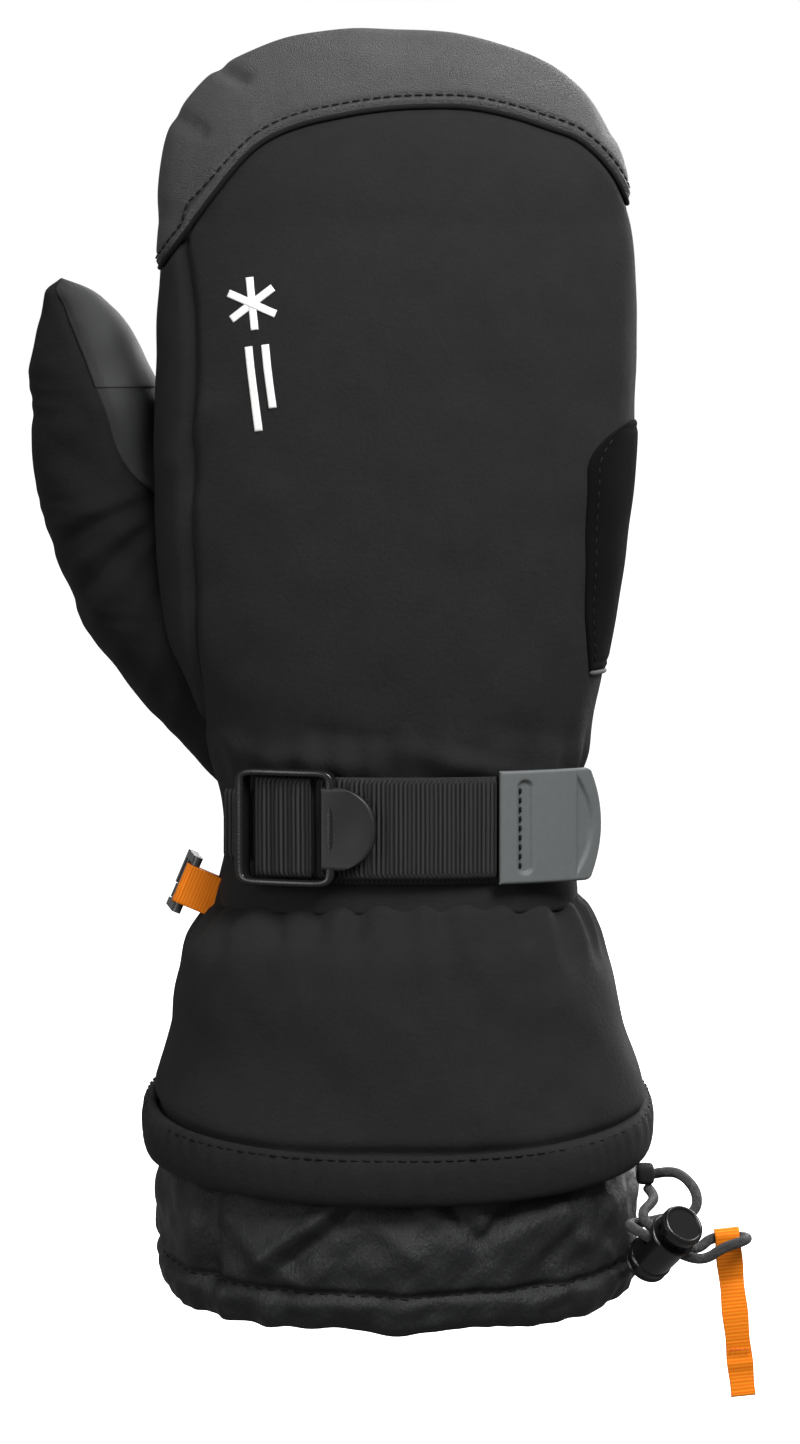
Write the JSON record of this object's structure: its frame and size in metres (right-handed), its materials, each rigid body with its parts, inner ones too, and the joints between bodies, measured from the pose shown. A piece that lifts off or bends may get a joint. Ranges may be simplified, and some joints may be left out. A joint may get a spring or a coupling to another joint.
{
  "type": "ski mitten",
  "caption": "Insulated right-hand ski mitten with a wrist strap and ladder-lock buckle, a flared gauntlet, an inner snow cuff, a drawcord with a cord lock, and a clip loop.",
  "frame": {"origin": "centre of the snow cuff's mouth, where the hand goes in", "axes": "+Z from the mouth towards the fingertips, -Y out of the back of the hand, -X towards the thumb side"},
  "size_m": [0.1807, 0.0912, 0.3365],
  "materials": {
    "shell_fabric": "charcoal woven nylon, matt",
    "hem_fabric": "charcoal woven nylon, padded",
    "pebble_leather": "pebble-grain synthetic leather",
    "grip_leather": "perforated synthetic leather",
    "white_print": "heat-transfer film",
    "suede": "black suede",
    "piping": "folded binding",
    "membrane": "thin waterproof film",
    "filling": "polyester wadding",
    "lining": "brushed lining",
    "elastic": "elastic band",
    "cord": "braided elastic cord",
    "cuff_nylon": "thin crinkled nylon",
    "webbing": "ribbed webbing",
    "grey_rubber": "moulded grey rubber",
    "thread": "stitching",
    "black_plastic": "moulded black plastic",
    "spring_steel": "spring wire",
    "orange_webbing": "orange grosgrain",
    "clip_plastic": "moulded grey plastic"
  },
  "bodies": {
    "mitten": {"palm_panel": "pebble_leather", "fingertip_cap": "pebble_leather", "index_side_panel": "shell_fabric", "back_panel": "shell_fabric", "cap_piping": "piping", "pinky_edge_patch": "suede", "back_print": "white_print", "waterproof_insert": "membrane", "wrist_elastic": "elastic", "palm_insulation": "filling", "back_insulation": "filling", "hand_lining": "lining", "gauntlet_shell": "shell_fabric", "gauntlet_insulation": "filling", "gauntlet_lining": "lining", "gauntlet_hem_band": "hem_fabric", "hem_drawcord": "cord", "snow_cuff": "cuff_nylon", "snow_cuff_hem": "cuff_nylon", "cuff_elastic": "elastic", "strap_under": "webbing", "strap_side_tab": "webbing", "wrist_loop": "orange_webbing", "drawcord_loop": "cord", "drawcord_tunnel": "cuff_nylon"},
    "thumb": {"thumb_back_panel": "shell_fabric", "thumb_grip": "grip_leather", "thumb_insulation": "filling", "thumb_lining": "lining"},
    "buckle": {"buckle": "black_plastic", "strap_wrap": "webbing"},
    "strap": {"strap_tail": "webbing"},
    "strap_end": {"strap_end_tab": "grey_rubber", "strap_end_stitches": "thread"},
    "cord_lock": {"cord_lock_barrel": "black_plastic", "cord_lock_spring": "spring_steel"},
    "lock_button": {"cord_lock_plunger": "black_plastic"},
    "pull_tab": {"pull_tab": "orange_webbing"},
    "clip": {"glove_clip": "clip_plastic"},
    "clip_gate": {"glove_clip_gate": "clip_plastic"}
  },
  "joints": [
    {"name": "thumb_fold", "type": "hinge", "parent": "mitten", "child": "thumb", "pos_m": [-0.044, 0.03, 0.16], "axis": [0, 0, -1], "range_deg": [0, 40]},
    {"name": "buckle_tilt", "type": "hinge", "parent": "mitten", "child": "buckle", "pos_m": [-0.0366, -0.0226, 0.1136], "axis": [0, 0, -1], "range_deg": [0, 35]},
    {"name": "strap_pull", "type": "hinge", "parent": "mitten", "child": "strap", "pos_m": [0, 0.037, 0.1136], "axis": [0, 0, 1], "range_deg": [0, 6.5]},
    {"name": "strap_end_lift", "type": "hinge", "parent": "strap", "child": "strap_end", "pos_m": [0.0226, -0.0323, 0.1136], "axis": [0, 0, -1], "range_deg": [0, 55]},
    {"name": "cord_lock_slide", "type": "slide", "parent": "mitten", "child": "cord_lock", "axis": [0.8533, 0.1559, -0.4976], "range_m": [0, 0.001]},
    {"name": "button_press", "type": "slide", "parent": "cord_lock", "child": "lock_button", "axis": [-0.4638, 0.6637, -0.5868], "range_m": [0, 0.003], "stiffness_N_per_m": 400, "springref_m": -0.001, "deforming": ["cord_lock_spring"]},
    {"name": "pull_tab_swing", "type": "hinge", "parent": "mitten", "child": "pull_tab", "pos_m": [0.0808, -0.0281, 0.0121], "axis": [1, 0, 0], "range_deg": [-40, 60]},
    {"name": "clip_swing", "type": "hinge", "parent": "mitten", "child": "clip", "pos_m": [-0.0532, -0.003, 0.097], "axis": [0.3907, 0, 0.9205], "range_deg": [0, 80]},
    {"name": "clip_gate_press", "type": "hinge", "parent": "clip", "child": "clip_gate", "pos_m": [-0.05529, 0.00636, 0.09631], "axis": [-0.9065, -0.1736, 0.3848], "range_deg": [0, 15], "stiffness_Nm_per_rad": 0.02}
  ]
}
